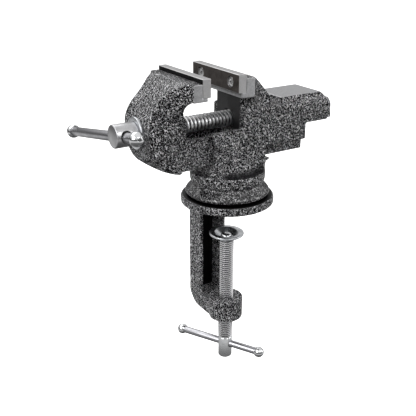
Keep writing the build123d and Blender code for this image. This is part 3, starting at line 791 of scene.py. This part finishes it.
keep_cad("fixed_jaw_plate", fixed_plate_steel)
keep_cad("movable_jaw_plate", loose_plate_steel)
print("kept from the CAD:", "fixed_jaw_plate", "movable_jaw_plate")

# %% [markdown]
# Each screw is a socket head: a turned head with a rounded rim and a hexagon pressed into its middle. The
# blank is turned along +Z, and a six-sided cone with two equal ends cuts the hexagon.


# %% Socket screws
def socket_screw(head_radius, head_height, shaft_radius, length, hexagon):
    """A socket screw along +Z: its head below z = 0 and its shaft above."""
    blank = turned([
        (0, -head_height), (head_radius - 0.5, -head_height), (head_radius, -head_height + 0.5),
        (head_radius, 0), (shaft_radius, 0), (shaft_radius, length - 0.4), (shaft_radius - 0.4, length),
        (0, length),
    ], width=0.12, steps=48)
    corner = hexagon / math.sqrt(3) * MM
    tool = bmesh.new()
    bmesh.ops.create_cone(
        tool, cap_ends=True, segments=6, radius1=corner, radius2=corner, depth=head_height * 1.2 * MM,
    )
    bmesh.ops.translate(tool, vec=(0, 0, -head_height * MM), verts=tool.verts)
    return cut_away(blank, tool)


def screws(node, name, body, toward, height, side, head_height, head_radius, shaft_radius, hexagon):
    """A pair of socket screws at both sides of the middle, pointing along +X or -X."""
    low, high = box_mm(node)
    length = (high.x - low.x) - head_height
    seat = low.x + head_height if toward > 0 else high.x - head_height
    pair = []
    for y in (-side, side):
        screw = socket_screw(head_radius, head_height, shaft_radius, length, hexagon)
        aim_along(screw, (toward, 0, 0), Vector((seat, y, height)) * MM)
        pair.append(screw)
    finished(joined(pair), name, socket_steel, body, [node], 30)


PLATE_SCREW = {"side": 19.0, "head_height": 4.0, "head_radius": 3.5, "shaft_radius": 2.0, "hexagon": 3.0}
NUT_SCREW = {"side": 8.0, "head_height": 1.8, "head_radius": 2.7, "shaft_radius": 2.0, "hexagon": 2.5}
plate_z = (fixed_low.z + fixed_high.z) / 2
nut_screw_z = screw_z + 8.0
screws("fixed_jaw_plate_screws", "fixed_plate_socket_screws", "vise", 1, plate_z, **PLATE_SCREW)
screws("movable_jaw_plate_screws", "movable_plate_socket_screws", "jaw", -1, plate_z, **PLATE_SCREW)
screws("main_nut_screws", "nut_socket_screws", "vise", -1, nut_screw_z, **NUT_SCREW)

# %% [markdown]
# ## Small hardware
#
# The washers, the retaining ring and its pin, the nut and the swivel bolt set are simple turned or sawn
# pieces. Those that show are turned again with rounded edges; the hidden ones keep the CAD mesh with a
# worked finish.

# %% Washer, ring and swivel set
washer_radius = (washer_high.z - washer_low.z) / 2
washer_thick = washer_high.x - washer_low.x
washer = turned([
    (SCREW_RADIUS + 0.2, 0), (washer_radius - 0.3, 0), (washer_radius, 0.3), (washer_radius, washer_thick),
    (SCREW_RADIUS + 0.2, washer_thick), (SCREW_RADIUS + 0.2, 0),
], width=0.2, steps=96)
aim_along(washer, (1, 0, 0), Vector((washer_low.x, 0, screw_z)) * MM)
finished(washer, "thrust_washer", zinc_steel, "main_spindle", ["main_screw_washer"])

keep_cad("main_screw_retaining_ring", head_steel)
keep_cad("main_screw_retaining_pin", head_steel)
keep_cad("main_nut", nut_iron)
keep_cad("swivel_washer", zinc_steel)


def hexagon_blank(across, low_z, high_z):
    """A hexagon bar along Z with its corners turned off at both ends."""
    bar = bmesh.new()
    radius = across / math.sqrt(3)
    bmesh.ops.create_cone(
        bar, cap_ends=True, segments=6, radius1=radius * MM, radius2=radius * MM, depth=(high_z - low_z) * MM,
    )
    bmesh.ops.translate(bar, vec=(0, 0, (low_z + high_z) / 2 * MM), verts=bar.verts)
    round_edges(bar, 0.45, segments=3)
    return bar


bolt_low, bolt_high = box_mm("swivel_bolt")
HEAD_HEIGHT = 6.4
ACROSS_FLATS = 16.0
BOLT_RADIUS = 5.0
BOLT_ROOT = 4.15
BOLT_PITCH = 1.5
NUT_BORE_RADIUS = 5.1
bolt_head = hexagon_blank(ACROSS_FLATS, bolt_high.z - HEAD_HEIGHT, bolt_high.z)
bolt_shaft = thread(
    BOLT_RADIUS, BOLT_ROOT, BOLT_PITCH, bolt_low.z, bolt_high.z - HEAD_HEIGHT, 0.2, 0.2, taper=0.8,
)
bolt = joined([bolt_head, bolt_shaft])
finished(bolt, "hexagon_swivel_bolt", zinc_steel, "vise", ["swivel_bolt"], 30)

nut_low, nut_high = box_mm("swivel_nut")
nut = hexagon_blank(ACROSS_FLATS, nut_low.z, nut_high.z)
bore = drill_bit(NUT_BORE_RADIUS, -20, 40, steps=48)
finished(cut_away(nut, bore), "hexagon_swivel_nut", zinc_steel, "vise", ["swivel_nut"], 30)

keep_cad("swivel_spring_washer", zinc_steel)
print("swivel set from", round(bolt_low.z, 1), "to", round(bolt_high.z, 1), "mm")

# %% [markdown]
# ## Floor and light
#
# The vise hangs on the edge of a table that isn't shown, so the plain pale floor lies a little below the
# clamp's handle. It is hidden from reflections and from soft light, so that only the lights and the room
# shape the look.

# %% Floor
lowest = cad_box[0][2]
FLOOR_GAP = 60 * MM
floor_mesh = bmesh.new()
bmesh.ops.create_grid(floor_mesh, x_segments=1, y_segments=1, size=6.0)
bmesh.ops.translate(floor_mesh, vec=(0, 0, lowest - FLOOR_GAP), verts=floor_mesh.verts)
floor = to_object(floor_mesh, "floor")
pale = Finish("pale_floor")
speck = pale.noise(6, detail=2.0)
pale.feed(pale.shader, {
    "Base Color": pale.mix(speck, (0.9, 0.9, 0.9, 1), (0.94, 0.94, 0.94, 1)), "Roughness": 0.9,
    "Emission Color": (1, 1, 1, 1), "Emission Strength": 0.8,
})
floor.data.materials.append(pale.material)
floor.visible_glossy = False
floor.visible_diffuse = False

# %% [markdown]
# A soft box is an area light: the larger it is, the softer its highlight. One behind and above lights the
# crowns and tops, a tall one on the left lights the handle side, and two smaller ones in front and on the
# right give the threads and balls more highlights. The sides stay dark between them, which makes the
# hammer finish sparkle.


# %% Lights
def soft_box(name, place, target, size, power, tint=(1, 1, 1)):
    data = bpy.data.lights.new(name, "AREA")
    data.shape = "RECTANGLE"
    data.size, data.size_y = size
    data.energy = power
    data.color = tint
    light = bpy.data.objects.new(name, data)
    light.location = place
    light.rotation_euler = (Vector(target) - Vector(place)).to_track_quat("-Z", "Y").to_euler()
    bpy.context.scene.collection.objects.link(light)
    return light


middle = (0, 0, 0.03)
soft_box("back_top", (-0.3, 0.7, 1.0), middle, (1.4, 0.8), 5)
soft_box("left", (-1.1, -0.2, 0.6), middle, (0.8, 0.9), 9)
soft_box("front", (0.1, -1.2, 0.9), middle, (0.8, 0.5), 5)
soft_box("right", (1.0, -0.7, 0.3), middle, (0.25, 0.8), 4)

# %% [markdown]
# The room around the vise is a gradient that only depends on how high a ray points. Bare steel shows it
# as a bright top, a dark line at eye level and a bright lower half. Matt paint gathers light from
# everywhere, so for those rays the lower half is dimmed, and hollows and undersides stay dark. Seen
# straight, the room is white.

# %% Room
STOPS = [
    (0.0, 0.12), (0.2, 0.2), (0.28, 0.8), (0.36, 0.6), (0.44, 0.09), (0.54, 0.09), (0.65, 0.7), (1.0, 0.95),
]


def add_room():
    world = bpy.data.worlds.new("studio")
    bpy.context.scene.world = world
    world.use_nodes = True
    air = Nodes(world.node_tree)
    ray = air.tree.nodes.new("ShaderNodeLightPath").outputs
    direction = air.tree.nodes.new("ShaderNodeTexCoord").outputs["Generated"]
    height = air.spread(air.split(direction)[2], -1.0, 1.0)
    ramp = air.tree.nodes.new("ShaderNodeValToRGB")
    for _ in STOPS[2:]:
        ramp.color_ramp.elements.new(0.5)
    for stop, (place, level) in zip(ramp.color_ramp.elements, STOPS):
        stop.position = place
        stop.color = (level, level, level, 1)
    air.feed(ramp, {0: height})
    soft = air.spread(height, 0.35, 0.7, 0.05, 0.66)
    grey = air.add("CombineColor", {0: soft, 1: soft, 2: soft})
    room = air.mix(ray["Is Diffuse Ray"], ramp.outputs[0], grey)
    air.feed(air.tree.nodes["Background"], {"Color": air.mix(ray["Is Camera Ray"], room, (1, 1, 1, 1))})
    return world


room = add_room()
print("room:", room.name, "with", len(STOPS), "stops")
bpy.context.scene.view_settings.view_transform = "Standard"
